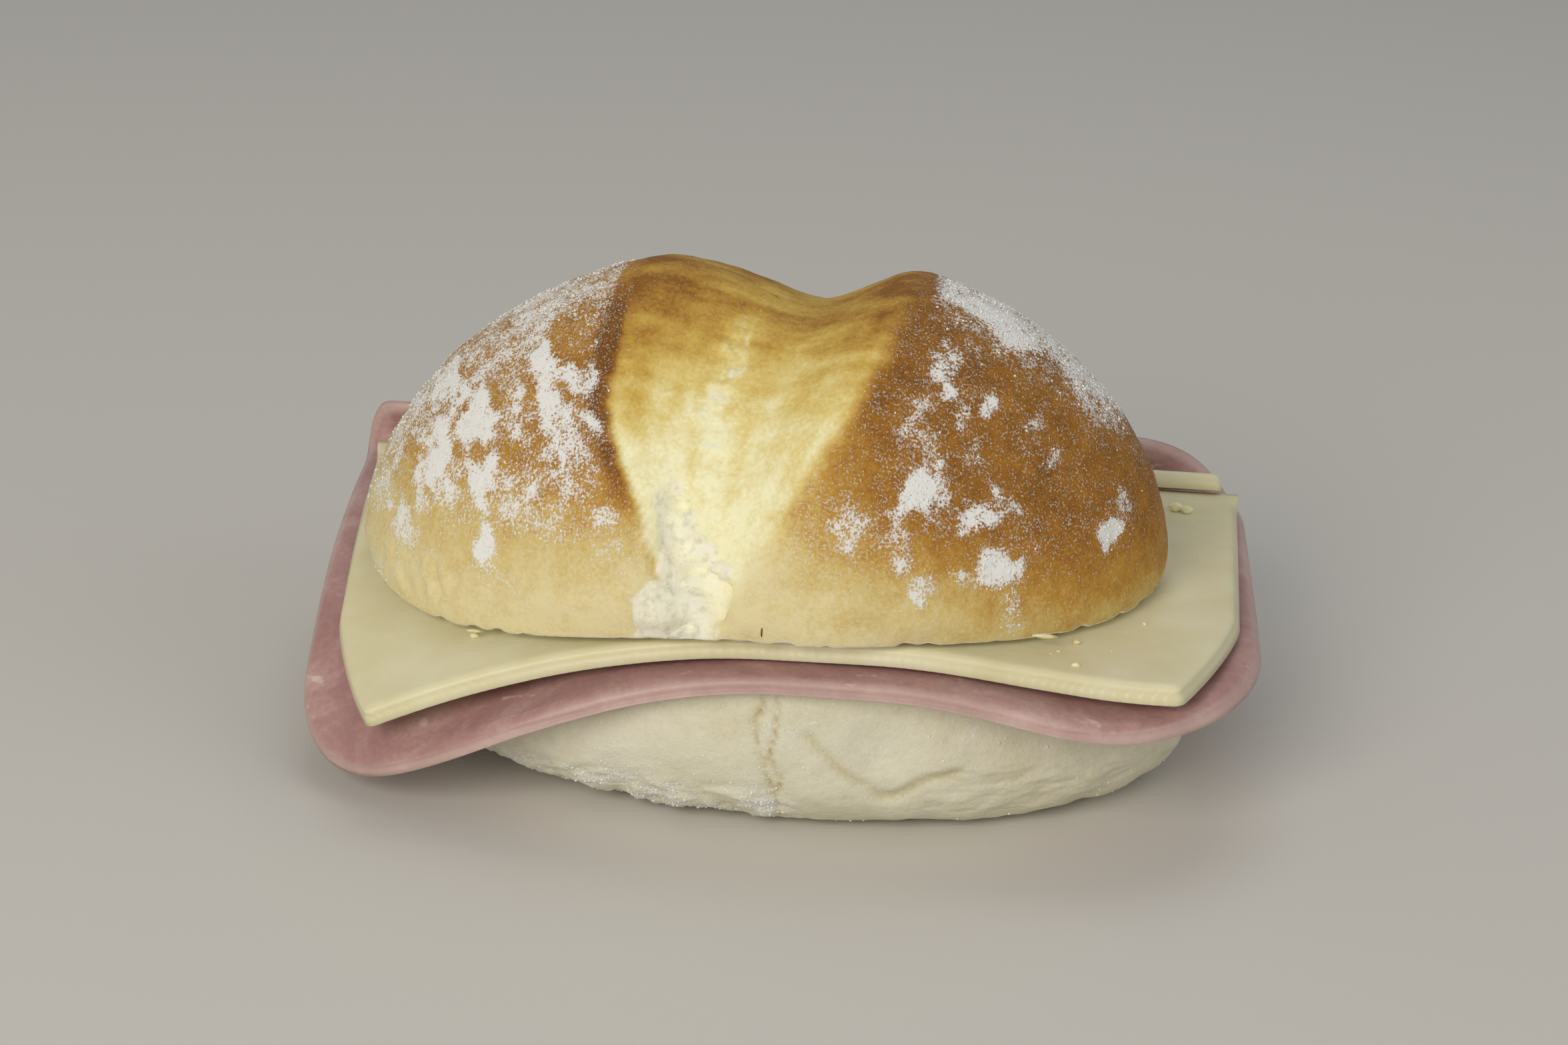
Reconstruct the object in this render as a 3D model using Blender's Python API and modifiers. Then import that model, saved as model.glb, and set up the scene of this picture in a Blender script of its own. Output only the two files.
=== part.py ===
# A crusty floured roll, cut through and filled with cheese and one slice of cooked ham.
# Lengths are in millimetres and become metres at the end. X runs along the roll, Y away
# from its front, Z up, and the origin is on the ground under the middle of the ham.

import math

import bmesh
import bpy
import numpy as np

MM = 0.001
GAP = 0.3
RIM_MARGIN = 1.0
SHARP_ANGLE = 50.0

# The roll before it was cut
ROLL_LENGTH = 100.4
ROLL_DEPTH = 66.0
ROLL_HEIGHT = 64.3
ROLL_LEAN = 0.035
ROLL_SQUARENESS = 1.9
ROLL_CENTRE_X = -3.0
ROLL_CENTRE_Y = -4.0

# The crown, which is the upper half
CROWN_AROUND = 88
CROWN_RINGS = 30
CROWN_RIM_LATITUDE = -48.0
CROWN_LEFT_POWER = 1.8
CROWN_RIGHT_POWER = 2.4
CROWN_TOP_POWER = 2.0
CROWN_RIM_HEIGHT = 26.1
CROWN_PINCH = 0.02
CROWN_PINCH_REACH = 0.12

# The right lobe swells a little further forward than the oval
LOBE_SWELL = 1.6
LOBE_SWELL_X = 12.0
LOBE_SWELL_WIDTH = 14.0

# The valley across the crown, from its front rim over the top to its back rim
VALLEY_CENTRE_X = -2.4
VALLEY_HALF_WIDTH = 17.6
VALLEY_LEFT_BOW = 1.5
VALLEY_LEFT_RUN = 7.5
VALLEY_RIGHT_RUN = 23.5
VALLEY_RIGHT_POWER = 1.9
VALLEY_FLOOR_AT_TOP = 0.62
VALLEY_FLOOR_AT_RIM = 0.46
VALLEY_DEPTH = 6.4
VALLEY_DEPTH_AT_RIM = 2.0

# The torn crumb that stands out in the valley, low at the front
TEAR_X = -9.5
TEAR_RUN = 0.8
TEAR_HALF_WIDTH = 5.0
TEAR_HALF_RUN = 0.14
TEAR_HEIGHT = 0.9

# The heel, which is the lower half
HEEL_AROUND = 72
HEEL_RINGS = 25
HEEL_RIM_LATITUDE = 45.0
HEEL_CENTRE_X = -0.2
HEEL_LEFT_POWER = 5.9
HEEL_RIGHT_POWER = 7.2
HEEL_SIDE_POWER = 5.3
HEEL_BASE_POWER = 2.6
HEEL_BASE_SHIFT = 5.5
HEEL_SINK = 1.04
HEEL_RIM_SCALE = 0.995

# The dimple in the front of the heel
DIMPLE_X = 13.6
DIMPLE_HEIGHT = 12.0
DIMPLE_RADIUS = 5.0
DIMPLE_DEPTH = 1.6

# The bed on which the slices lie: flat in the middle, drooping at both front corners
BED_HEIGHT = 21.0
BED_FRONT = -38.0
LEFT_DROOP_START = 0.3
LEFT_DROOP = 0.01251
LEFT_DROOP_POWER = 1.897
RIGHT_DROOP = 4.2
RIGHT_DROOP_START = 12.0
RIGHT_DROOP_END = 45.0
DROOP_FADE = 24.0
DROOP_FADE_POWER = 1.5

# How much of the bed's droop each piece follows, from the limp ham to the stiff bread
HAM_SLACK = 1.0
CHEESE_SLACK = 0.66
CROWN_SLACK = 0.5

# The slice of ham, whose back edge curls up and over
HAM_WIDTH = 118.0
HAM_SPREAD = 1.8
HAM_CENTRE_X = 0.1
HAM_FRONT = -39.4
HAM_THICKNESS = 2.2
HAM_LEFT_CORNER = (38.0, 24.0)
HAM_RIGHT_CORNER = (26.0, 26.0)
HAM_BACK_LEFT_CORNER = (5.0, 5.0)
HAM_BACK_RIGHT_CORNER = (20.0, 16.0)
HAM_CURL_START = 34.5
HAM_CURL_ARC = 13.2
HAM_CURL_RADIUS = 4.9
HAM_CURL_WIDENING = 0.55

# The slice of cheese, with two cut corners at the front
CHEESE_LENGTH = 111.6
CHEESE_SPREAD = 3.8
CHEESE_CENTRE_X = 0.7
CHEESE_FRONT = -34.9
CHEESE_DEPTH = 65.0
CHEESE_THICKNESS = 2.3
CHEESE_LEFT_CORNER = (6.0, 15.0)
CHEESE_RIGHT_CORNER = (7.5, 19.0)

# The strip of cheese that lies on the slice's back edge
STRIP_LEFT = -30.0
STRIP_RIGHT = 56.6
STRIP_SLANT = 4.2
STRIP_FRONT = 29.6
STRIP_DEPTH = 5.6
STRIP_SLOPE = 20.0


def power(value, exponent):
    return np.maximum(value, 0.0) ** exponent


def smooth(value, start, end):
    t = np.clip((value - start) / (end - start), 0.0, 1.0)
    return t * t * (3.0 - 2.0 * t)


def droop(x, y):
    """How far the bed hangs below its flat middle."""
    left = LEFT_DROOP * power(LEFT_DROOP_START - x, LEFT_DROOP_POWER)
    right = RIGHT_DROOP * smooth(x, RIGHT_DROOP_START, RIGHT_DROOP_END)
    fade = np.exp(-power((y - BED_FRONT) / DROOP_FADE, DROOP_FADE_POWER))
    return (left + right) * fade


def bed(x, y, slack):
    """Height of the surface that a piece of this slackness lies on."""
    return BED_HEIGHT - slack * droop(x, y)


def roll_outline(azimuth, scale):
    """The roll's outline from above, an oval with slightly pointed ends."""
    reach = 2.0 / ROLL_SQUARENESS
    across = np.cos(azimuth)
    away = np.sin(azimuth)
    x = ROLL_LENGTH / 2.0 * np.sign(across) * np.abs(across) ** reach
    y = ROLL_DEPTH / 2.0 * np.sign(away) * np.abs(away) ** reach
    return x * scale, y * scale


def valley_folds(run):
    """The valley's left and right edges. Run goes from -1 at the back rim to 1 at the front."""
    ahead = np.abs(run)
    near = VALLEY_HALF_WIDTH + VALLEY_LEFT_BOW * np.sin(math.pi * ahead)
    near = near - VALLEY_LEFT_RUN * smooth(ahead, 0.45, 1.0)
    far = VALLEY_HALF_WIDTH - VALLEY_RIGHT_RUN * ahead**VALLEY_RIGHT_POWER
    left = np.where(run > 0.0, VALLEY_CENTRE_X - near, VALLEY_CENTRE_X - far)
    right = np.where(run > 0.0, VALLEY_CENTRE_X + far, VALLEY_CENTRE_X + near)
    return left, right


def valley_depth(points):
    """How deep the valley is pressed in at points of the crown's crust."""
    forward = (ROLL_CENTRE_Y - points[:, 1]) / (ROLL_DEPTH / 2.0)
    upward = (points[:, 2] - CROWN_RIM_HEIGHT) / (ROLL_HEIGHT - CROWN_RIM_HEIGHT)
    run = np.clip(np.arctan2(forward, upward) / (math.pi / 2.0), -1.0, 1.0)
    left, right = valley_folds(run)
    across = np.clip((points[:, 0] - left) / (right - left), 0.0, 1.0)
    floor = VALLEY_FLOOR_AT_TOP + (VALLEY_FLOOR_AT_RIM - VALLEY_FLOOR_AT_TOP) * np.maximum(run, 0.0)
    crisp = 1.0 - (1.0 - np.minimum(across / floor, 1.0)) ** 2.0
    soft = smooth(across / floor, 0.0, 1.0)
    near_side = soft + (crisp - soft) * smooth(run, 0.0, 0.4)
    far_side = smooth((1.0 - across) / (1.0 - floor), 0.0, 1.0)
    deep = VALLEY_DEPTH + (VALLEY_DEPTH_AT_RIM - VALLEY_DEPTH) * run**2.0
    tear_x = (points[:, 0] - TEAR_X) / TEAR_HALF_WIDTH
    tear_run = (run - TEAR_RUN) / TEAR_HALF_RUN
    tear = TEAR_HEIGHT * np.exp(-(tear_x**2.0) - tear_run**2.0)
    return deep * np.where(across < floor, near_side, far_side) - tear


def sphere_mesh(around, rings):
    """A unit sphere with its azimuths and latitudes in degrees."""
    mesh = bmesh.new()
    bmesh.ops.create_uvsphere(mesh, u_segments=around, v_segments=rings, radius=1.0)
    points = np.array([vert.co[:] for vert in mesh.verts])
    azimuth = np.arctan2(points[:, 1], points[:, 0])
    latitude = np.degrees(np.arcsin(np.clip(points[:, 2], -1.0, 1.0)))
    return mesh, azimuth, latitude


def set_points(mesh, points):
    for vert, point in zip(mesh.verts, points):
        vert.co = point
    mesh.normal_update()


def press_in(mesh, points, depth):
    """Moves each point inwards, against its normal."""
    normals = np.array([vert.normal[:] for vert in mesh.verts])
    set_points(mesh, points - normals * depth[:, None])


def crown_bed(x, y):
    """Height of the crown's cut face."""
    return bed(x, y, CROWN_SLACK) + HAM_THICKNESS + CHEESE_THICKNESS + 3.0 * GAP


def heel_face(x, y):
    """Height of the heel's cut face."""
    return bed(x, y, HAM_SLACK) - GAP


def crown_points(azimuth, latitude):
    rim_x, rim_y = roll_outline(azimuth, 1.0)
    swell = LOBE_SWELL * np.exp(-(((rim_x - LOBE_SWELL_X) / LOBE_SWELL_WIDTH) ** 2.0))
    rim_y = rim_y - np.where(rim_y < 0.0, swell * smooth(-rim_y, 5.0, 25.0), 0.0)
    rim_z = crown_bed(rim_x + ROLL_CENTRE_X, rim_y + ROLL_CENTRE_Y)

    # Crust: from the rim up to the top
    share = np.clip((latitude - CROWN_RIM_LATITUDE) / (90.0 - CROWN_RIM_LATITUDE), 0.0, 1.0)
    turn = share * math.pi / 2.0
    side_power = CROWN_LEFT_POWER + (CROWN_RIGHT_POWER - CROWN_LEFT_POWER) * smooth(rim_x, -35.0, 35.0)
    ring = power(np.cos(turn), 2.0 / side_power)
    lift = power(np.sin(turn), 2.0 / CROWN_TOP_POWER)
    ring = ring * (1.0 - CROWN_PINCH * power(1.0 - lift / CROWN_PINCH_REACH, 2.0))
    crust = np.stack(
        [
            rim_x * ring + ROLL_CENTRE_X,
            rim_y * ring + ROLL_CENTRE_Y,
            rim_z + (ROLL_HEIGHT - ROLL_LEAN * rim_x * ring - rim_z) * lift,
        ],
        axis=-1,
    )

    # Cut face: from the rim in to the middle
    inward = np.clip((CROWN_RIM_LATITUDE - latitude) / (90.0 + CROWN_RIM_LATITUDE), 0.0, 1.0)
    scale = (1.0 - CROWN_PINCH) * (1.0 - inward)
    face_x = rim_x * scale + ROLL_CENTRE_X
    face_y = rim_y * scale + ROLL_CENTRE_Y
    face = np.stack([face_x, face_y, crown_bed(face_x, face_y)], axis=-1)
    return np.where((latitude > CROWN_RIM_LATITUDE)[:, None], crust, face)


def heel_points(azimuth, latitude):
    rim_x, rim_y = roll_outline(azimuth, HEEL_RIM_SCALE)
    rim_z = heel_face(rim_x + HEEL_CENTRE_X, rim_y + ROLL_CENTRE_Y)

    # Crust: from the rim down to the flat base
    share = np.clip((HEEL_RIM_LATITUDE - latitude) / (90.0 + HEEL_RIM_LATITUDE), 0.0, 1.0)
    turn = share * math.pi / 2.0
    end_power = HEEL_LEFT_POWER + (HEEL_RIGHT_POWER - HEEL_LEFT_POWER) * smooth(rim_x, -20.0, 35.0)
    ring_x = power(np.cos(turn), 2.0 / end_power)
    ring_y = power(np.cos(turn), 2.0 / HEEL_SIDE_POWER)
    drop = power(np.sin(turn), 2.0 / HEEL_BASE_POWER)
    crust = np.stack(
        [
            rim_x * ring_x + HEEL_BASE_SHIFT * drop + HEEL_CENTRE_X,
            rim_y * ring_y + ROLL_CENTRE_Y,
            np.maximum(rim_z * (1.0 - HEEL_SINK * drop), 0.0),
        ],
        axis=-1,
    )

    # Cut face: from the rim in to the middle
    scale = np.clip((90.0 - latitude) / (90.0 - HEEL_RIM_LATITUDE), 0.0, 1.0)
    face_x = rim_x * scale + HEEL_CENTRE_X
    face_y = rim_y * scale + ROLL_CENTRE_Y
    face = np.stack([face_x, face_y, heel_face(face_x, face_y)], axis=-1)
    return np.where((latitude < HEEL_RIM_LATITUDE)[:, None], crust, face)


def material(name, colour, roughness):
    made = bpy.data.materials.new(name)
    made.use_nodes = True
    shader = made.node_tree.nodes["Principled BSDF"]
    shader.inputs["Base Color"].default_value = (*colour, 1.0)
    shader.inputs["Roughness"].default_value = roughness
    shader.inputs["Metallic"].default_value = 0.0
    made.diffuse_color = (*colour, 1.0)
    return made


def add_object(name, mesh, colour, roughness, collection):
    data = bpy.data.meshes.new(name)
    mesh.to_mesh(data)
    mesh.free()
    data.transform(np.diag([MM, MM, MM, 1.0]).tolist())
    made = bpy.data.objects.new(name, data)
    data.materials.append(material(name, colour, roughness))
    collection.objects.link(made)
    return made


def shade_smooth(made):
    """Smooth shading that still breaks at the cut face's rim."""
    made.data.shade_smooth()
    made.data.set_sharp_from_angle(angle=math.radians(SHARP_ANGLE))


def grid_mesh(columns, rows):
    mesh = bmesh.new()
    bmesh.ops.create_grid(mesh, x_segments=columns, y_segments=rows, size=1.0)
    bmesh.ops.triangulate(mesh, faces=mesh.faces[:])
    points = np.array([vert.co[:] for vert in mesh.verts])
    return mesh, points[:, 0], points[:, 1]


def round_corner(distance, size):
    """How far a quarter-oval corner draws the side in, at a distance from the edge."""
    short = np.clip(1.0 - distance / size[1], 0.0, 1.0)
    return size[0] * (1.0 - np.sqrt(1.0 - short**2.0))


def cut_corner(distance, size):
    """How far a straight cut corner draws the side in, at a distance from the edge."""
    return size[0] * power(1.0 - distance / size[1], 1.0)


def between(left, right, u):
    return left + (right - left) * (u + 1.0) / 2.0


def make_crown(collection):
    mesh, azimuth, latitude = sphere_mesh(CROWN_AROUND, CROWN_RINGS)
    points = crown_points(azimuth, latitude)
    set_points(mesh, points)
    crust = latitude > CROWN_RIM_LATITUDE + RIM_MARGIN
    press_in(mesh, points, np.where(crust, valley_depth(points), 0.0))
    made = add_object("roll_top", mesh, (0.55, 0.30, 0.10), 0.7, collection)
    shade_smooth(made)
    return made


def make_heel(collection):
    mesh, azimuth, latitude = sphere_mesh(HEEL_AROUND, HEEL_RINGS)
    points = heel_points(azimuth, latitude)
    set_points(mesh, points)
    reach = np.hypot(points[:, 0] - DIMPLE_X, points[:, 2] - DIMPLE_HEIGHT) / DIMPLE_RADIUS
    front = points[:, 1] < ROLL_CENTRE_Y
    press_in(mesh, points, np.where(front, DIMPLE_DEPTH * np.exp(-(reach**2.0)), 0.0))
    made = add_object("roll_bottom", mesh, (0.75, 0.65, 0.45), 0.8, collection)
    shade_smooth(made)
    return made


def thicken(made, thickness):
    wall = made.modifiers.new("Thickness", "SOLIDIFY")
    wall.thickness = thickness * MM
    wall.offset = 1.0


def make_ham(collection):
    mesh, u, v = grid_mesh(26, 30)
    depth = HAM_CURL_START + HAM_CURL_ARC - HAM_FRONT
    from_front = depth / 2.0 * (1.0 + np.sin(v * math.pi / 2.0))
    from_back = depth - from_front
    half_width = HAM_WIDTH / 2.0 + HAM_SPREAD * (from_front / depth - 0.5)
    left = -half_width + round_corner(from_front, HAM_LEFT_CORNER)
    left = left + round_corner(from_back, HAM_BACK_LEFT_CORNER)
    right = half_width - round_corner(from_front, HAM_RIGHT_CORNER)
    right = right - round_corner(from_back, HAM_BACK_RIGHT_CORNER)
    x = between(left, right, u) + HAM_CENTRE_X
    along = HAM_FRONT + from_front
    radius = HAM_CURL_RADIUS + HAM_CURL_WIDENING * x / half_width
    turn = np.maximum(along - HAM_CURL_START, 0.0) / radius
    flat_y = np.minimum(along, HAM_CURL_START)
    y = flat_y + radius * np.sin(turn)
    z = bed(x, flat_y, HAM_SLACK) + radius * (1.0 - np.cos(turn))
    set_points(mesh, np.stack([x, y, z], axis=-1))
    made = add_object("ham_slice", mesh, (0.60, 0.30, 0.28), 0.4, collection)
    thicken(made, HAM_THICKNESS)
    return made


def make_cheese(collection):
    mesh, u, v = grid_mesh(20, 14)
    from_front = CHEESE_DEPTH / 2.0 * (1.0 + v)
    half_length = CHEESE_LENGTH / 2.0 + CHEESE_SPREAD * (from_front / CHEESE_DEPTH - 0.5)
    left = -half_length + cut_corner(from_front, CHEESE_LEFT_CORNER)
    right = half_length - cut_corner(from_front, CHEESE_RIGHT_CORNER)
    x = between(left, right, u) + CHEESE_CENTRE_X
    y = CHEESE_FRONT + from_front
    z = bed(x, y, CHEESE_SLACK) + HAM_THICKNESS + GAP
    set_points(mesh, np.stack([x, y, z], axis=-1))
    made = add_object("cheese_slice", mesh, (0.80, 0.76, 0.55), 0.4, collection)
    thicken(made, CHEESE_THICKNESS)
    return made


def make_strip(collection):
    mesh, u, v = grid_mesh(24, 3)
    share = (v + 1.0) / 2.0
    x = between(STRIP_LEFT, STRIP_RIGHT - STRIP_SLANT * share, u)
    y = STRIP_FRONT + STRIP_DEPTH * share
    slice_back = CHEESE_FRONT + CHEESE_DEPTH
    slice_top = BED_HEIGHT + HAM_THICKNESS + CHEESE_THICKNESS + 2.0 * GAP
    z = slice_top + (slice_back - y) * math.tan(math.radians(STRIP_SLOPE))
    set_points(mesh, np.stack([x, y, z], axis=-1))
    made = add_object("cheese_strip", mesh, (0.80, 0.76, 0.55), 0.4, collection)
    thicken(made, CHEESE_THICKNESS)
    return made


def main():
    for leftover in list(bpy.data.objects):
        bpy.data.objects.remove(leftover, do_unlink=True)
    collection = bpy.data.collections.new("filled_roll")
    bpy.context.scene.collection.children.link(collection)
    make_crown(collection)
    make_heel(collection)
    make_ham(collection)
    make_cheese(collection)
    make_strip(collection)


main()
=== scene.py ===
# A floured bread roll, cut through and filled with cheese and cooked ham.
# Lengths are in millimetres and are turned to metres when a mesh is written.
import math

import bmesh
import bpy
import numpy as np
from mathutils import Matrix, Vector


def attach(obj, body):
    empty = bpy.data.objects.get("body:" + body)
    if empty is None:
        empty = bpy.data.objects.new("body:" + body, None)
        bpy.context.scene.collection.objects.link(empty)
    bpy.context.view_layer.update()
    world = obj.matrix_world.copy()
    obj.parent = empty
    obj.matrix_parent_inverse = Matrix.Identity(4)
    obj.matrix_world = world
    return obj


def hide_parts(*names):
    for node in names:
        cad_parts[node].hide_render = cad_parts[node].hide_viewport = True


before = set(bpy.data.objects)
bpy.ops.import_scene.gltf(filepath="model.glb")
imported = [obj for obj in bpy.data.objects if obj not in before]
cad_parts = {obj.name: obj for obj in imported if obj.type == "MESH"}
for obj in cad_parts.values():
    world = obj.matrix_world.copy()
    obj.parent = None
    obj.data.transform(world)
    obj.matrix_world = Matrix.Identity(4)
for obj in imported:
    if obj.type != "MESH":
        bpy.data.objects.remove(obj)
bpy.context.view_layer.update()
scene = bpy.context.scene
mm = 0.001
print("frame loaded")


def power(value, exponent):  # what lies below 0 counts as 0
    return np.maximum(value, 0.0) ** exponent


def smooth(value, start, end):
    t = np.clip((value - start) / (end - start), 0.0, 1.0)
    return t * t * (3.0 - 2.0 * t)


def hill(value, centre, width):  # a soft bump, 1 at its centre
    return np.exp(-(((value - centre) / width) ** 2.0))


def gridNoise(points, size, seed):  # smooth noise from 0 to 1 with lumps of this size
    place = points / size + seed * 13.37
    cell = np.floor(place).astype(np.int64)
    part = place - cell
    part = part * part * (3.0 - 2.0 * part)
    total = np.zeros(len(points))
    for corner in range(8):
        step = np.array([corner & 1, corner >> 1 & 1, corner >> 2 & 1])
        key = cell + step
        mixed = key[:, 0] * 73856093 ^ key[:, 1] * 19349663 ^ key[:, 2] * 83492791 ^ seed * 2654435
        mixed = (mixed ^ mixed >> 13) * 1274126177 & 0xFFFFFFFF
        level = (mixed ^ mixed >> 16) % 65536 / 65535.0
        weight = np.prod(np.where(step == 1, part, 1.0 - part), axis=1)
        total += level * weight
    return total


def roughNoise(points, size, seed, octaves=3):  # finer and finer noise added up, around 0
    total = np.zeros(len(points))
    for octave in range(octaves):
        total += (gridNoise(points, size / 2.0**octave, seed + octave) - 0.5) / 2.0**octave
    return total


def layered(points, layers):  # noise in layers, each (height, size, seed)
    return sum(height * roughNoise(points, size, seed) for height, size, seed in layers)


def lineDistance(x, y, line):  # distance to a bent line, in a flat picture of the surface
    best = np.full(len(x), 1e9)
    for (ax, ay), (bx, by) in zip(line[:-1], line[1:]):
        length = (bx - ax) ** 2 + (by - ay) ** 2
        share = np.clip(((x - ax) * (bx - ax) + (y - ay) * (by - ay)) / length, 0.0, 1.0)
        best = np.minimum(best, np.hypot(x - ax - share * (bx - ax), y - ay - share * (by - ay)))
    return best


def lineAt(place, line, crossed=False):  # where a bent line lies beside each place along it, or crossed, across it
    ends = np.array(line)
    if crossed:
        return np.interp(place, ends[:, 0], ends[:, 1])
    return np.interp(place, ends[:, 1], ends[:, 0])


def sphereMesh(name, around, rings):  # a closed globe of quads: azimuth and level (0 to 1) of each point
    azimuth = np.tile(np.arange(around) / around * 2.0 * math.pi - math.pi, rings - 1)
    level = np.repeat(np.arange(1, rings) / rings, around)
    azimuth = np.concatenate([[0.0], azimuth, [0.0]])
    level = np.concatenate([[0.0], level, [1.0]])
    here = np.arange(around)
    following = (here + 1) % around
    starts = 1 + np.arange(rings - 2)[:, None] * around
    first, second = starts + here, starts + following
    quads = np.stack([first, second, second + around, first + around], axis=-1).reshape(-1, 4).tolist()
    last = len(level) - 1
    highest = last - around
    below = [[0, 1 + b, 1 + a] for a, b in zip(here.tolist(), following.tolist())]
    above = [[last, highest + a, highest + b] for a, b in zip(here.tolist(), following.tolist())]
    data = bpy.data.meshes.new(name)
    data.from_pydata([(0.0, 0.0, 0.0)] * len(level), [], below + quads + above)
    return data, azimuth, level


def keepMesh(mesh, name):
    data = bpy.data.meshes.new(name)
    mesh.to_mesh(data)
    mesh.free()
    return data


def gridMesh(name, columns, rows):  # a flat sheet of quads: u and v (-1 to 1) of each point
    mesh = bmesh.new()
    bmesh.ops.create_grid(mesh, x_segments=columns, y_segments=rows, size=1.0)
    data = keepMesh(mesh, name)
    points = readPoints(data) * mm
    return data, points[:, 0], points[:, 1]


def readPoints(data):
    flat = np.empty(len(data.vertices) * 3)
    data.vertices.foreach_get("co", flat)
    return flat.reshape(-1, 3) / mm


def writePoints(data, points):
    data.vertices.foreach_set("co", (points * mm).ravel())
    data.update()


def pushOut(data, points, amount):  # moves each point along its normal, in millimetres
    writePoints(data, points)
    flat = np.empty(len(data.vertices) * 3)
    data.vertex_normals.foreach_get("vector", flat)
    moved = points + flat.reshape(-1, 3) * amount[:, None]
    writePoints(data, moved)
    return moved


def addFields(data, fields):  # numbers from 0 to 1 at every point, for the material
    for name, values in fields.items():
        field = data.attributes.new(name, "FLOAT", "POINT")
        field.data.foreach_set("value", np.clip(values, 0.0, 1.0).astype(np.float32))


def addPiece(name, data, finish, replaced=()):
    piece = bpy.data.objects.new(name, data)
    scene.collection.objects.link(piece)
    if finish is not None:
        data.materials.clear()
        data.materials.append(finish)
    data.shade_smooth()
    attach(piece, "root")
    if replaced:
        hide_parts(*replaced)
    return piece


def hexColour(code):  # sRGB hex to linear
    levels = [int(code[i:i + 2], 16) / 255.0 for i in (0, 2, 4)]
    return tuple(v / 12.92 if v <= 0.04045 else ((v + 0.055) / 1.055) ** 2.4 for v in levels) + (1.0,)


def addNode(tree, kind, settings=None, sockets=None):  # a node among the sockets stands for its first output
    made = tree.nodes.new(kind)
    for key, value in (settings or {}).items():
        setattr(made, key, value)
    for key, value in (sockets or {}).items():
        if isinstance(value, bpy.types.Node):
            value = value.outputs[0]
        if isinstance(value, bpy.types.NodeSocket):
            tree.links.new(value, made.inputs[key])
        else:
            made.inputs[key].default_value = value
    return made


scaled = {"operation": "MULTIPLY_ADD"}
added = {"operation": "ADD"}
eased = {"interpolation_type": "SMOOTHSTEP"}
inColour = {"data_type": "RGBA"}


def noiseSockets(place, size, detail, roughness):  # size in millimetres
    return {"Vector": place, "Scale": 1.0 / (size * mm), "Detail": detail, "Roughness": roughness}


def setStops(ramp, stops):  # fills a colour ramp from (place, colour) pairs
    while len(ramp.elements) < len(stops):
        ramp.elements.new(0.5)
    for element, (place, code) in zip(ramp.elements, stops):
        element.position = place
        element.color = hexColour(code)


def newMaterial(name, look):
    made = bpy.data.materials.new(name)
    made.use_nodes = True
    shader = made.node_tree.nodes["Principled BSDF"]
    for socket, key in [
        ("Roughness", "roughness"), ("IOR", "ior"), ("Specular IOR Level", "gloss"),
        ("Subsurface Weight", "glow"), ("Subsurface Radius", "glowReach"), ("Subsurface Scale", "glowScale"),
    ]:
        shader.inputs[socket].default_value = look[key]
    made.diffuse_color = hexColour(look["preview"])
    return made, made.node_tree, shader


crustLook = {
    "roughness": 0.62,
    "ior": 1.45,
    "gloss": 0.2,
    "glow": 0.07,
    "glowReach": (1.0, 0.55, 0.25),
    "glowScale": 0.001,
    "preview": "b87c3a",
    "baked": [(0.0, "e6d8a6"), (0.28, "d6bc76"), (0.52, "bf913e"), (0.76, "a26d24"), (1.0, "7a4d19")],
    "split": [(0.0, "fbf6cb"), (0.3, "e6d185"), (0.55, "d3b056"), (0.8, "b78a39"), (1.0, "905f22")],
    "crumb": [(0.35, "dcdbc8"), (0.5, "f8f3dc"), (0.7, "f4f5ee")],
    "flour": "eeeeea",
    "noise": [   # size, detail, roughness
        (2.6, 6.0, 0.62),    # brown clouds in the skin
        (0.55, 3.0, 0.6),    # fine change of tone from pore to pore
        (1.3, 4.0, 0.6),     # clumps of flour, and the tone of torn crumb
        (0.32, 2.0, 0.6),    # grains of flour, drawn coarser than the real 0.1 mm so that they show
        (0.256, 1.0, 0.5),   # stray grains, drawn coarser too
        (0.9, 5.0, 0.6),     # pores
    ],
    "poreDepth": 0.25,
    "dustDepth": 0.12,
    "flouredRoughness": 0.95,
}
heelLook = dict(
    crustLook,
    preview="d8d2b4",
    baked=[(0.0, "e8e5d0"), (0.3, "ddd8bc"), (0.55, "cdc29c"), (0.8, "b39b68"), (1.0, "8a6c3c")],
    split=[(0.0, "e9e6d2"), (0.3, "dfd9bd"), (0.55, "cfc49e"), (0.8, "b59c68"), (1.0, "8c6c3c")],
)


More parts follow.
